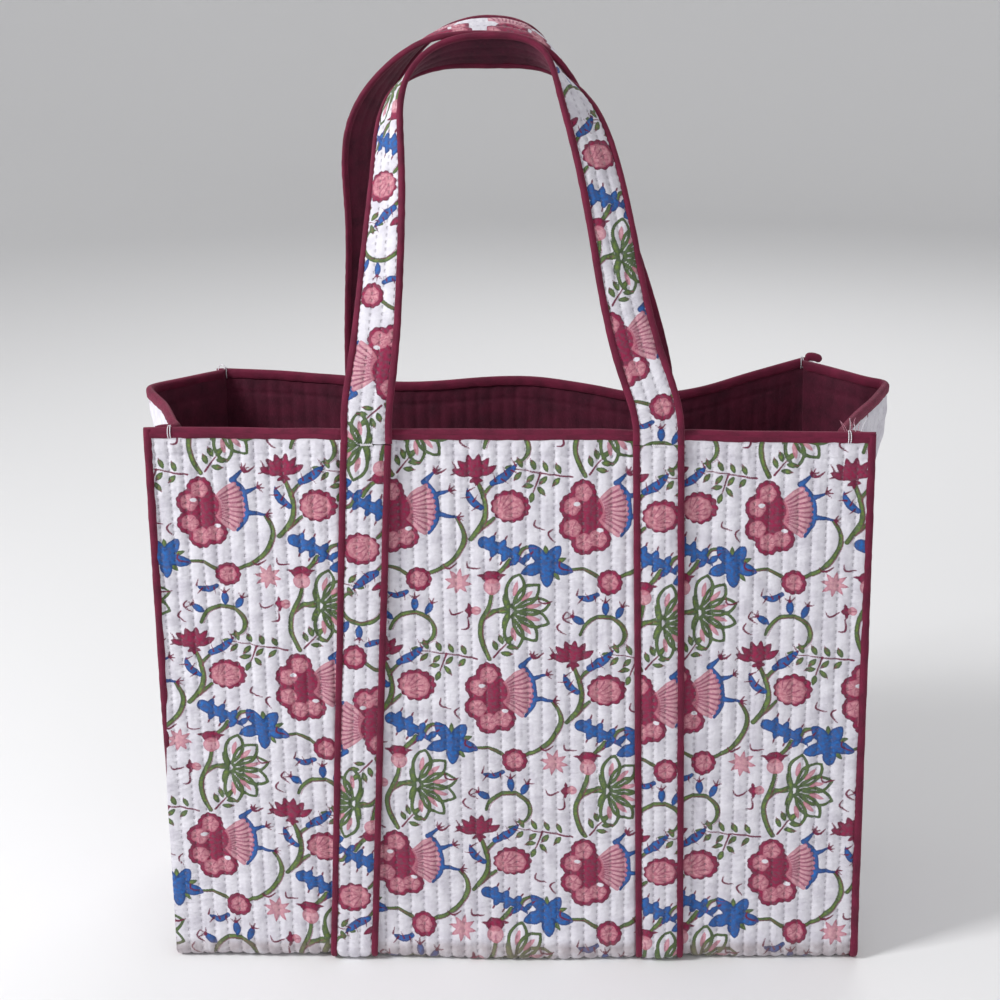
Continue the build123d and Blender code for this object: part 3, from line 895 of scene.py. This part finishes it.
def settle(points):
    """Where the nominal walls have settled: the back's top edge has slumped, the front bellies a
    little, its foot bows out, and the base sags where no strap holds it up."""
    p = np.array(points, float)
    x, y, z = p[..., 0].copy(), p[..., 1].copy(), p[..., 2].copy()
    rise = smooth((z - 0.11) / (MOUTH - 0.11))
    back = smooth((y + 0.01) / 0.085)
    front = 1 - smooth((y + 0.075) / 0.10)
    slump = profile(BACK_SLUMP, np.clip(x, -BACK_HALF, BACK_HALF))
    p[..., 2] -= SLUMP_DOWN * slump * back * rise
    p[..., 1] -= SLUMP_IN * slump * back * rise
    front_lift = profile(FRONT_LIFT, np.clip(x, -0.23, 0.23))
    lift = front_lift * (1 - back) + profile(BACK_LIFT, np.clip(x, -0.21, 0.21)) * back
    p[..., 2] += lift * np.clip((z - 0.02) / (MOUTH - 0.02), 0, 1.05)
    middle = np.clip(1 - (x / 0.235) ** 2, 0, 1)
    belly = np.sin(pi * np.clip(z / MOUTH, 0, 1)) * middle
    p[..., 1] += (0.006 * back - 0.0035 * front) * belly
    wave = 0.0018 * noise(x / 0.055, z / 0.12, 41) * np.clip(z / 0.03, 0, 1)
    wave = wave * np.clip((0.215 - np.abs(x)) / 0.03, 0, 1)
    p[..., 1] += wave * (back + front)
    low = np.clip(1 - z / 0.05, 0, 1) ** 2
    p[..., 1] -= (0.0018 + 0.0062 * np.exp(-(x / 0.088) ** 2)) * low * front
    held = sum(np.exp(-((x - route[1]) / 0.019) ** 4) for route in BANDS.values())
    sag = (BASE_Z - 0.0010) * (1 - np.clip(held, 0, 1)) * np.clip(1 - (z - BASE_Z) / 0.03, 0, 1)
    p[..., 2] -= sag * (z > 0.5 * BASE_Z)
    return p


def wrapped(v):
    """How far, 0 to 1, the front's print wraps over the left seam towards its foot."""
    return smooth((v - 0.175) / 0.09) * (1 - smooth((v - STRAIGHT) / 0.03))


def wall_grid(inset, columns, step):
    """The front, base and back as one sheet: settled points, cloth coordinates and normals."""
    v = np.arange(0, ROUND_LENGTH + step / 2, step)
    v = v * ROUND_LENGTH / v[-1]
    y, z, out = round_bag(v, inset)
    share = np.linspace(-1, 1, columns)
    half = wall_half(z, y < 0) + EDGE_TUCK
    x = half[:, None] * share[None]
    if not inset:
        x = x - 0.0042 * wrapped(v)[:, None] * smooth((-share - 0.94) / 0.06)
    z = np.minimum(z, MOUTH - TAPE_RISE)
    grid = np.stack([x, y[:, None] + 0 * x, z[:, None] + 0 * x], -1)
    grid = settle(grid)
    facing = normals(grid)
    facing *= np.sign((facing * out[:, None]).sum(-1, keepdims=True))
    return grid, np.stack([x, v[:, None] + 0 * x], -1), facing


def printed_askew(uv):
    """Cloth coordinates for the print, which was stamped a little askew towards the base."""
    down = smooth(uv[..., 1] / 0.34)
    u = 0.059 + (uv[..., 0] - 0.059) / (1 + 0.035 * down)
    u = u + 0.0065 * smooth((uv[..., 0] - 0.08) / 0.10) * (1 - down)
    v = 1.0165 * uv[..., 1] + 0.0006 + profile(PRINT_SKEW, uv[..., 0]) * down
    v = v - 0.0045 * (1 - smooth(uv[..., 1] / 0.18))
    return np.stack([u, v], -1)


def under_tape(uv, start):
    """1 where the walls' cloth is free and 0 where the mouth's tape presses it flat."""
    away = np.minimum(uv[..., 1], ROUND_LENGTH - uv[..., 1])
    return smooth((away - start) / 0.006)


def body():
    """The body's printed cloth and its lining."""
    grid, uv, out = wall_grid(0, 500, 0.00095)
    puff = quilt(uv[..., 0], uv[..., 1], QUILT_PITCH, QUILT_RISE, 11, first=QUILT_FIRST)
    top_row = np.exp(-((uv[..., 1] - HEM_ROW) / STITCH_HALF) ** 2)
    dash = 0.5 + 0.5 * np.cos(2 * pi * uv[..., 0] / HEM_STITCH)
    puff = puff - 0.0008 * top_row * (0.4 + 0.6 * dash)
    grid = grid + out * ((puff - 0.3 * QUILT_RISE) * under_tape(uv, 0.004))[..., None]
    made = cloth("body_print_cloth", grid, uv, flip=True)
    ink(made, printed_askew(uv))
    dress(made, PRINT, "printed_cotton", "root", "body_print", "body_wadding")

    grid, uv, out = wall_grid(WALL, 300, 0.0016)
    puff = quilt(uv[..., 0], uv[..., 1], QUILT_PITCH, LINING_RISE, 17, first=QUILT_FIRST)
    away = np.minimum(uv[..., 1], ROUND_LENGTH - uv[..., 1])
    puff = puff - 0.0006 * np.exp(-((away - HEM_ROW) / STITCH_HALF) ** 2)
    grid = grid - out * (puff * under_tape(uv, 0.004))[..., None]
    made = cloth("body_lining_cloth", grid, uv)
    dress(made, LINING, "lining_cotton", "root", "body_lining")


def gusset_line(side_name, inset, count):
    """The gusset's top edge in plan, evenly spaced along its length."""
    line = smooth_line(GUSSET_TOP[side_name], 600)
    length = np.concatenate([[0], np.cumsum(np.hypot(*np.diff(line, axis=0).T))])
    at = np.linspace(0, length[-1], count)
    x, y = (np.interp(at, length, line[:, k]) for k in (0, 1))
    dx, dy = np.gradient(x), np.gradient(y)
    n = np.hypot(dx, dy)
    return x - inset * dy / n, y + inset * dx / n, length[-1]


def gusset_lift(side, across):
    """How far a gusset's top edge stands above its nominal height, from the front to the back."""
    front, back = profile(FRONT_LIFT, side * 0.23), profile(BACK_LIFT, side * 0.21)
    return front + (back - front) * smooth((across + 1) / 1.6)


def gusset_grid(side_name, side, inset, columns, step):
    """One gusset: flat at the base, folded outwards in a V at the mouth."""
    z = np.arange(BASE_Z + inset, MOUTH + step / 2, step)
    z = BASE_Z + inset + (z - z[0]) * (MOUTH - BASE_Z - inset) / (z[-1] - z[0])
    top_x, top_y, length = gusset_line(side_name, inset, columns)
    across = np.linspace(-1, 1, columns)
    reach = HALF_DEPTH - WALL
    r = CORNER - WALL
    drop = np.clip((BASE_Z + CORNER - z) / CORNER, 0, 1)
    limit = reach - r * (1 - np.sqrt(1 - drop ** 2))
    fold = smooth((z - 0.07) / (MOUTH - 0.06)) ** 1.3
    fold = fold / fold[-1]
    flat_x = wall_half(z[:, None], across[None] < 0) - inset - 0.002
    x = flat_x + (top_x[None] - flat_x) * fold[:, None]
    y = limit[:, None] * across + (top_y[None] - limit[:, None] * across) * fold[:, None]
    held = smooth((1 - np.abs(across)) / 0.03)
    edge_x = wall_half(z[:, None], across[None] < 0) - 0.0008
    edge_y = (limit[:, None] + 0.0006) * np.sign(across)
    x = edge_x * (1 - held) + x * held
    y = edge_y * (1 - held) + y * held
    zz = z[:, None] + 0 * x
    grid = np.stack([side * x, y, zz], -1)
    back = smooth((across - 0.2) / 0.8)
    slump = profile(BACK_SLUMP, side * BACK_HALF) * SLUMP_DOWN
    grid[..., 2] -= slump * back[None] * smooth((zz - 0.11) / (MOUTH - 0.11))
    grid[..., 0] += side * 0.0022 * noise(y / 0.035, zz / 0.05, 51 + side) * held * fold[:, None] ** 0.5
    uv = np.stack([across[None] * length / 2 + 0 * zz, MOUTH - zz], -1)
    facing = normals(grid)
    facing *= side * np.sign(facing[len(z) // 2, columns // 2, 0])
    grid[..., 2] += gusset_lift(side, across)[None] * np.clip((zz - 0.02) / (MOUTH - 0.02), 0, 1)
    grid[..., 2] -= (BASE_Z - 0.0010) * np.clip(1 - (zz - BASE_Z) / 0.03, 0, 1)
    grid[..., 2] = np.minimum(grid[..., 2], grid[-1:, :, 2] - TAPE_RISE)
    return grid, uv, facing, length


def gussets():
    """The two folded side walls. Their print stops short of the mouth."""
    for side_name, side in (("left", -1), ("right", 1)):
        grid, uv, out, length = gusset_grid(side_name, side, 0.0, 190, 0.0011)
        puff = quilt(uv[..., 0], uv[..., 1], QUILT_PITCH, QUILT_RISE, 23 + side, first=QUILT_FIRST)
        edge = smooth((length / 2 - np.abs(uv[..., 0])) / 0.022) * smooth((uv[..., 1] - 0.004) / 0.006)
        puffed = grid + out * (puff * edge)[..., None]
        made = cloth(f"{side_name}_gusset_print_cloth", puffed, uv, flip=side > 0)
        shifted = uv + np.array([0.031 if side < 0 else 0.074, 0.046])
        bare = 1 - smooth((uv[..., 1] - 0.040) / 0.020)
        ink(made, shifted, seed=7 + side, bare=bare.ravel())
        dress(made, GUSSET_PRINT, "printed_cotton", "root",
              f"{side_name}_gusset_print", f"{side_name}_gusset_wadding")

        grid, uv, out, length = gusset_grid(side_name, side, WALL, 130, 0.0018)
        puff = quilt(uv[..., 0], uv[..., 1], QUILT_PITCH, LINING_RISE, 29 + side)
        puff = puff - 0.0005 * np.exp(-((uv[..., 1] - HEM_ROW) / STITCH_HALF) ** 2)
        edge = smooth((length / 2 - np.abs(uv[..., 0])) / 0.022) * smooth((uv[..., 1] - 0.004) / 0.006)
        puffed = grid - out * (puff * edge)[..., None]
        made = cloth(f"{side_name}_gusset_lining_cloth", puffed, uv, flip=side < 0)
        dress(made, LINING, "lining_cotton", "root", f"{side_name}_gusset_lining")


# ---------------------------------------------------------------- bindings


def seam_bindings():
    """Bias tape round each side seam: down the front corner, along the base, up the back."""
    section = rounded_section(SEAM_WIDTH - 0.0006, WALL + 0.0022)
    for side_name, side in (("left", -1), ("right", 1)):
        v = np.linspace(0, ROUND_LENGTH, 700)
        y, z, out = round_bag(v, WALL / 2 - 0.0006)
        x = side * (wall_half(z, y < 0) + SEAM_WIDTH / 2 + 0.0003)
        line = settle(np.stack([x, y, z], -1))
        line += out * 0.0004 * noise(v / 0.012, v * 0, 61)[:, None]
        if side < 0:
            line[:, 1] += 0.0036 * wrapped(v)
        across = np.tile([1.0, 0, 0], (len(v), 1))
        made = swept(f"{side_name}_seam_tape", line, across, out, section, pucker=0.05, seed=60 + side)
        dress(made, BINDING, "bias_binding", "root", f"{side_name}_seam_binding")


def mouth_section():
    """The folded tape's section: round at the top, flat at the two hems."""
    w, h = TAPE_THICK / 2, TAPE_HEIGHT
    dome = [(w * cos(radians(a)), -w + w * sin(radians(a))) for a in range(0, 181, 20)]
    left = [(-w, -h * 0.55), (-w * 0.96, -h * 0.86), (-w * 0.70, -h)]
    right = [(w * 0.70, -h), (w * 0.96, -h * 0.86), (w, -h * 0.55)]
    return np.array(dome + left + right)


def mouth_tape(name, line, out, node, seed):
    """One folded tape along a line, out being the way that the wall faces."""
    up = np.tile([0.0, 0.0, 1.0], (len(line), 1))
    made = swept(name, line, out, up, mouth_section(), pucker=0.05, seed=seed, rounded=0.004)
    dress(made, BINDING, "bias_binding", "root", node)


def mouth_bindings():
    """Bias tape folded over the top edge of each wall."""
    top = MOUTH + TAPE_RISE
    for wall_name, y, half in (("front", -HALF_DEPTH, FRONT_HALF), ("back", HALF_DEPTH, BACK_HALF)):
        side = np.sign(y)
        x = np.linspace(-half - 0.0058, half + 0.0058, 460)
        line = np.stack([x, 0 * x + y - side * WALL / 2, 0 * x + top], -1)
        line = settle(line)
        line[:, 2] += 0.0006 * noise(x / 0.03, 0 * x, 71)
        out = np.tile([0.0, side, 0.0], (len(x), 1))
        mouth_tape(f"{wall_name}_mouth_tape", line, out, f"{wall_name}_mouth_binding", 72)
    for side_name, side in (("left", -1), ("right", 1)):
        x, y, _ = gusset_line(side_name, WALL / 2, 240)
        slump = profile(BACK_SLUMP, side * BACK_HALF) * SLUMP_DOWN
        across = np.linspace(-1, 1, 240)
        z = top - slump * smooth((across - 0.2) / 0.8) + gusset_lift(side, across)
        line = np.stack([side * x, y, z], -1)
        way = unit(np.gradient(line, axis=0))
        out = unit(np.cross(way, [0, 0, 1.0])) * side
        mouth_tape(f"{side_name}_mouth_tape", line, out, f"{side_name}_mouth_binding", 75 + side)


# ---------------------------------------------------------------- straps


def strap(prefix, line, across, out, edges, printed_at):
    """A quilted strap: its printed face, its backing and its two bound edges. line, across and
    out are its middle line, the way to the second edge and the printed face's normal. printed_at
    turns cloth coordinates into the print's."""
    step = np.linalg.norm(np.diff(line, axis=0), axis=1)
    along = np.concatenate([[0], np.cumsum(step)])
    share = np.linspace(-1, 1, 25)
    u = np.broadcast_to(share[None] * STRAP_FACE_HALF, (len(line), 25))
    v = np.broadcast_to(along[:, None], u.shape)
    ridge = quilt(u, v, STRAP_QUILT_PITCH, 0.0008, 81, first=STRAP_QUILT_PITCH / 2)
    rib = quilt(u, v, STRAP_QUILT_PITCH, 0.0005, 83, first=STRAP_QUILT_PITCH / 2)
    crown = 0.0007 * (1 - share ** 2)[None]
    uv = np.stack([u, v], -1)
    middle = line[:, None] + across[:, None] * u[..., None]
    face = middle + out[:, None] * (STRAP_THICK / 2 - 0.0010 + crown + ridge)[..., None]
    back = middle - out[:, None] * (STRAP_THICK / 2 - 0.0012 + crown + rib)[..., None]
    printed = cloth(f"{prefix}_face_cloth", face, uv, flip=True)
    ink(printed, printed_at(uv), seed=90)
    backing = cloth(f"{prefix}_backing_cloth", back, uv)
    dress(printed, STRAP_COTTON, "printed_cotton", None, f"{prefix}_print", f"{prefix}_wadding")
    # The front handle's backing takes the darker lining, painted shade under its arch.
    shaded = SHADED_HANDLE_LINING if prefix == "front_handle" else LINING
    dress(backing, shaded, "lining_cotton", None, f"{prefix}_backing")
    made = [printed, backing]
    section = rounded_section(STRAP_EDGE_WIDTH, STRAP_THICK)
    for way, edge in zip((-1, 1), edges):
        at = line + across * way * (STRAP_HALF - STRAP_EDGE_WIDTH / 2)
        tape = swept(f"{prefix}_{edge}_tape", at, across, out, section, pucker=0.06, seed=95 + way)
        dress(tape, BINDING, "bias_binding", None, f"{prefix}_{edge}_binding")
        made.append(tape)
    return made


def strap_print(uv, flower_at, upright, eased=1.0):
    """Print coordinates on a strap whose cloth was cut so that a big flower lies at flower_at.
    eased is how much the strap's quilting has drawn the print up along it."""
    way = 1 if upright else -1
    from_flower = (uv - np.array([way * FLOWER_ASIDE, flower_at])) * np.array([1, eased])
    return way * from_flower + np.array(FIRST_FLOWER) * MM


def bands():
    """The strap round the bag on each side, from its front seam to its back one."""
    for side_name, (front, base, back) in BANDS.items():
        v = np.linspace(SEAM_DROP, ROUND_LENGTH - SEAM_DROP, 900)
        y, z, out = round_bag(v, -STRAP_LIFT)
        height = np.clip(z / MOUTH, 0, 1)
        x = base + (np.where(y < 0, front, back) - base) * height
        line = settle(np.stack([x, y, z], -1))
        way = unit(np.gradient(line, axis=0))
        across = np.tile([1.0, 0, 0], (len(v), 1))
        across = unit(across - way * (across * way).sum(-1, keepdims=True))
        facing = unit(np.cross(across, way))
        facing *= np.sign((facing * out).sum(-1, keepdims=True))
        flower = FLOWER_DROP[side_name] - SEAM_DROP
        made = strap(f"{side_name}_band", line, across, facing, ("left", "right"),
                     lambda uv: strap_print(uv, flower, side_name == "right"))
        for piece in made:
            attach(piece, "root")


def handles():
    """The two loops. Each foot starts at the band's seam and follows the settled wall there."""
    for name, side in (("front", -1), ("back", 1)):
        route = np.array(HANDLES[name])
        feet = []
        for end in (route[0], route[-1]):
            foot = end.copy()
            foot[2] = SEAM_Z
            feet.append(foot)
        route = np.concatenate([[feet[0]], route, [feet[1]]])
        line = smooth_line(route, 560, ends=((0, 0, 1, 0), (0, 0, -1, 0)))
        turn = np.radians(line[:, 3])[:, None]
        line = line[:, :3]
        low = 1 - smooth((line[:, 2] - 0.375) / 0.11)
        line = line + (settle(line) - line) * low[:, None]
        along = unit(np.gradient(line, axis=0))
        lean = radians(HANDLE_LEAN[name])
        facing = np.tile([0.0, side * cos(lean), sin(lean)], (len(line), 1))
        foot_way = np.tile([0.0, side, 0.0], (len(line), 1))
        facing = facing * (1 - low[:, None]) + foot_way * low[:, None]
        facing = unit(facing - along * (facing * along).sum(-1, keepdims=True))
        outward = unit(np.cross(along, facing)) * side
        normal = facing * np.cos(turn) + outward * np.sin(turn)
        across = np.cross(normal, along)
        length = np.linalg.norm(np.diff(line, axis=0), axis=1).sum()
        left_flower, right_flower = FLOWER_RISE["left"], length - FLOWER_RISE["right"]

        def printed_at(uv):
            left = strap_print(uv, left_flower, True, HANDLE_EASE)
            right = strap_print(uv, right_flower, True, HANDLE_EASE)
            return np.where(uv[..., 1:] < length / 2, left, right)

        made = strap(f"{name}_handle", line, across, normal, ("front_edge", "back_edge"), printed_at)
        for piece in made:
            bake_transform(piece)


# ---------------------------------------------------------------- stitching


def thread_loop(name, line, radius, material, body_name, *nodes):
    """A round thread along a line of points."""
    way = unit(np.gradient(line, axis=0))
    aside = unit(np.cross(way, [0.31, 0.17, 0.93]))
    section = rounded_section(2 * radius, 2 * radius, steps=2)
    made = swept(name, line, aside, np.cross(way, aside), section)
    dress(made, material, "thread", body_name, *nodes)


def tacks():
    """The hand stitches that pinch each corner, and the bars that hold the strap at the mouth."""
    for wall_name, y, half in (("front", -HALF_DEPTH, FRONT_HALF), ("back", HALF_DEPTH, BACK_HALF)):
        side_y = np.sign(y)
        for side_name, side in (("left", -1), ("right", 1)):
            a = np.linspace(0, 4 * pi, 60)
            x = side * (half - (0.011 if side_y < 0 else 0.001)) + 0.0008 * np.sin(a / 2)
            ring = np.stack([x, y - side_y * WALL / 2 + (TAPE_THICK / 2 + 0.0006) * np.cos(a),
                             MOUTH - 0.0022 + 0.0042 * np.sin(a)], -1)
            thread_loop(f"{wall_name}_{side_name}_corner_thread", settle(ring), THREAD_RADIUS,
                        WHITE_THREAD, "root", f"{wall_name}_{side_name}_corner_tack")
    for side_name, route in BANDS.items():
        for wall_name, side_y, x in (("front", -1, route[0]), ("back", 1, route[2])):
            t = np.linspace(0, 1, 60)
            line = np.stack([x + 0.008 * (t - 0.5), 0 * t + side_y * (HALF_DEPTH + 0.0046),
                             SEAM_Z + 0.0006 * np.sin(2 * pi * 7 * t)], -1)
            thread_loop(f"{wall_name}_{side_name}_bar_thread", settle(line), THREAD_RADIUS,
                        WHITE_THREAD, "root", f"{wall_name}_{side_name}_bar_tack")


def corner_details():
    """The loose ends at three corners: a curled end of tape, two slack loops of thread and a
    frayed edge of the print."""
    top = MOUTH + TAPE_RISE
    t = np.linspace(0, 1, 24)[:, None]
    start = np.array([BACK_HALF + 0.0015, HALF_DEPTH - 0.0015, top + 0.0002])
    line = start + t * np.array([0.0122, 0.001, -0.0026]) + np.sin(pi * t) * np.array([0, 0, 0.0014])
    line = settle(line)
    way = unit(np.gradient(line, axis=0))
    aside = unit(np.cross(way, [0.0, 0.0, 1.0]))
    made = swept("back_right_tape_end", line, aside, np.cross(aside, way), rounded_section(0.0056, 0.0060),
                 pucker=0.08, seed=120, rounded=0.0030)
    dress(made, BINDING, "bias_binding", "root")
    for side_name, x, drop in (("left", -BACK_HALF - 0.001, 0.0005), ("right", BACK_HALF + 0.0055, 0.0060)):
        a = np.linspace(-0.35 * pi, 1.45 * pi, 50)
        loop = np.stack([x + 0.0030 * np.cos(a), 0 * a + HALF_DEPTH - 0.0046 - 0.001 * np.sin(2 * a),
                         top - drop + 0.0040 * np.sin(a)], -1)
        thread_loop(f"back_{side_name}_slack_thread", settle(loop), 0.00032, WHITE_THREAD, "root")
    random = np.random.default_rng(7)
    for k in range(9):
        root = np.array([0.2245 - 0.0012 * k, -HALF_DEPTH + 0.0030 + 0.0009 * (k % 3), top - 0.0008])
        lean = random.uniform(-0.8, 1.2)
        reach = random.uniform(0.004, 0.009)
        bend = random.uniform(-0.003, 0.003)
        line = root + t * np.array([lean * 0.004, 0.0015, reach]) + t * t * np.array([bend, 0, 0])
        material = PINK_THREAD if k % 3 else WHITE_THREAD
        thread_loop(f"frayed_thread_{k}", settle(line), 0.00016, material, "root")


# ---------------------------------------------------------------- the studio

CAMERA_AT = (0.0269, -1.0940, 0.6888)
CAMERA_YAW = 1.78
CAMERA_PITCH = 15.56
CAMERA_ROLL = -0.89
CAMERA_LENS = 59.54
CAMERA_SHIFT_Y = -0.104


def camera():
    """The viewer's camera, in front of the bag and above it, looking down."""
    yaw, pitch, roll = radians(CAMERA_YAW), radians(CAMERA_PITCH), radians(CAMERA_ROLL)
    forward = Vector((-sin(yaw) * cos(pitch), cos(yaw) * cos(pitch), -sin(pitch)))
    right = forward.cross(Vector((0, 0, 1))).normalized()
    up = right.cross(forward)
    turned_right = right * cos(roll) + up * sin(roll)
    turned_up = up * cos(roll) - right * sin(roll)
    data = bpy.data.cameras.new("camera")
    data.lens = CAMERA_LENS
    data.sensor_width = 36
    data.shift_y = CAMERA_SHIFT_Y
    made = bpy.data.objects.new("camera", data)
    turned = Matrix((turned_right, turned_up, -forward)).transposed().to_4x4()
    made.matrix_world = Matrix.Translation(CAMERA_AT) @ turned
    bpy.context.scene.collection.objects.link(made)
    bpy.context.scene.camera = made


def soft_light(name, place, target, size, watts):
    """A square area light at a place, turned to a target."""
    data = bpy.data.lights.new(name, "AREA")
    data.shape = "SQUARE"
    data.size = size
    data.energy = watts
    made = bpy.data.objects.new(name, data)
    made.location = place
    made.rotation_euler = (Vector(target) - Vector(place)).to_track_quat("-Z", "Y").to_euler()
    bpy.context.scene.collection.objects.link(made)


def backdrop():
    """A pale floor that curves up into a round wall."""
    reach, bend, height = 3.0, 1.2, 2.6
    outline = [(0, 0), (reach, 0)]
    outline += [(reach + bend * sin(radians(a)), bend - bend * cos(radians(a))) for a in range(10, 91, 10)]
    outline += [(reach + bend, height)]
    radius, rise = np.array(outline).T
    around = np.linspace(0, 2 * pi, 64, endpoint=False)
    grid = np.stack([radius[:, None] * np.cos(around), radius[:, None] * np.sin(around),
                     rise[:, None] + 0 * around], -1)
    made = new_mesh("studio_floor", grid.reshape(-1, 3), grid_faces(len(radius), 64, ring=True),
                    grid.reshape(-1, 3)[:, :2])
    made.data.materials.append(pale_floor())


def studio():
    """Soft light from above and in front, over a pale floor."""
    backdrop()
    world = bpy.data.worlds.new("studio")
    world.use_nodes = True
    world.node_tree.nodes["Background"].inputs[0].default_value = (1.0, 1.0, 1.0, 1)
    world.node_tree.nodes["Background"].inputs[1].default_value = 0.48
    bpy.context.scene.world = world
    bpy.context.scene.view_settings.view_transform = "Standard"
    middle = (0, 0, 0.25)
    soft_light("key", (-1.75, -0.85, 1.55), middle, 0.5, 46)
    soft_light("fill", (1.3, -1.9, 1.0), middle, 1.4, 8)
    soft_light("back", (0.5, 1.7, 1.6), middle, 1.2, 12)


body()
gussets()
seam_bindings()
mouth_bindings()
bands()
handles()
tacks()
corner_details()
studio()
camera()
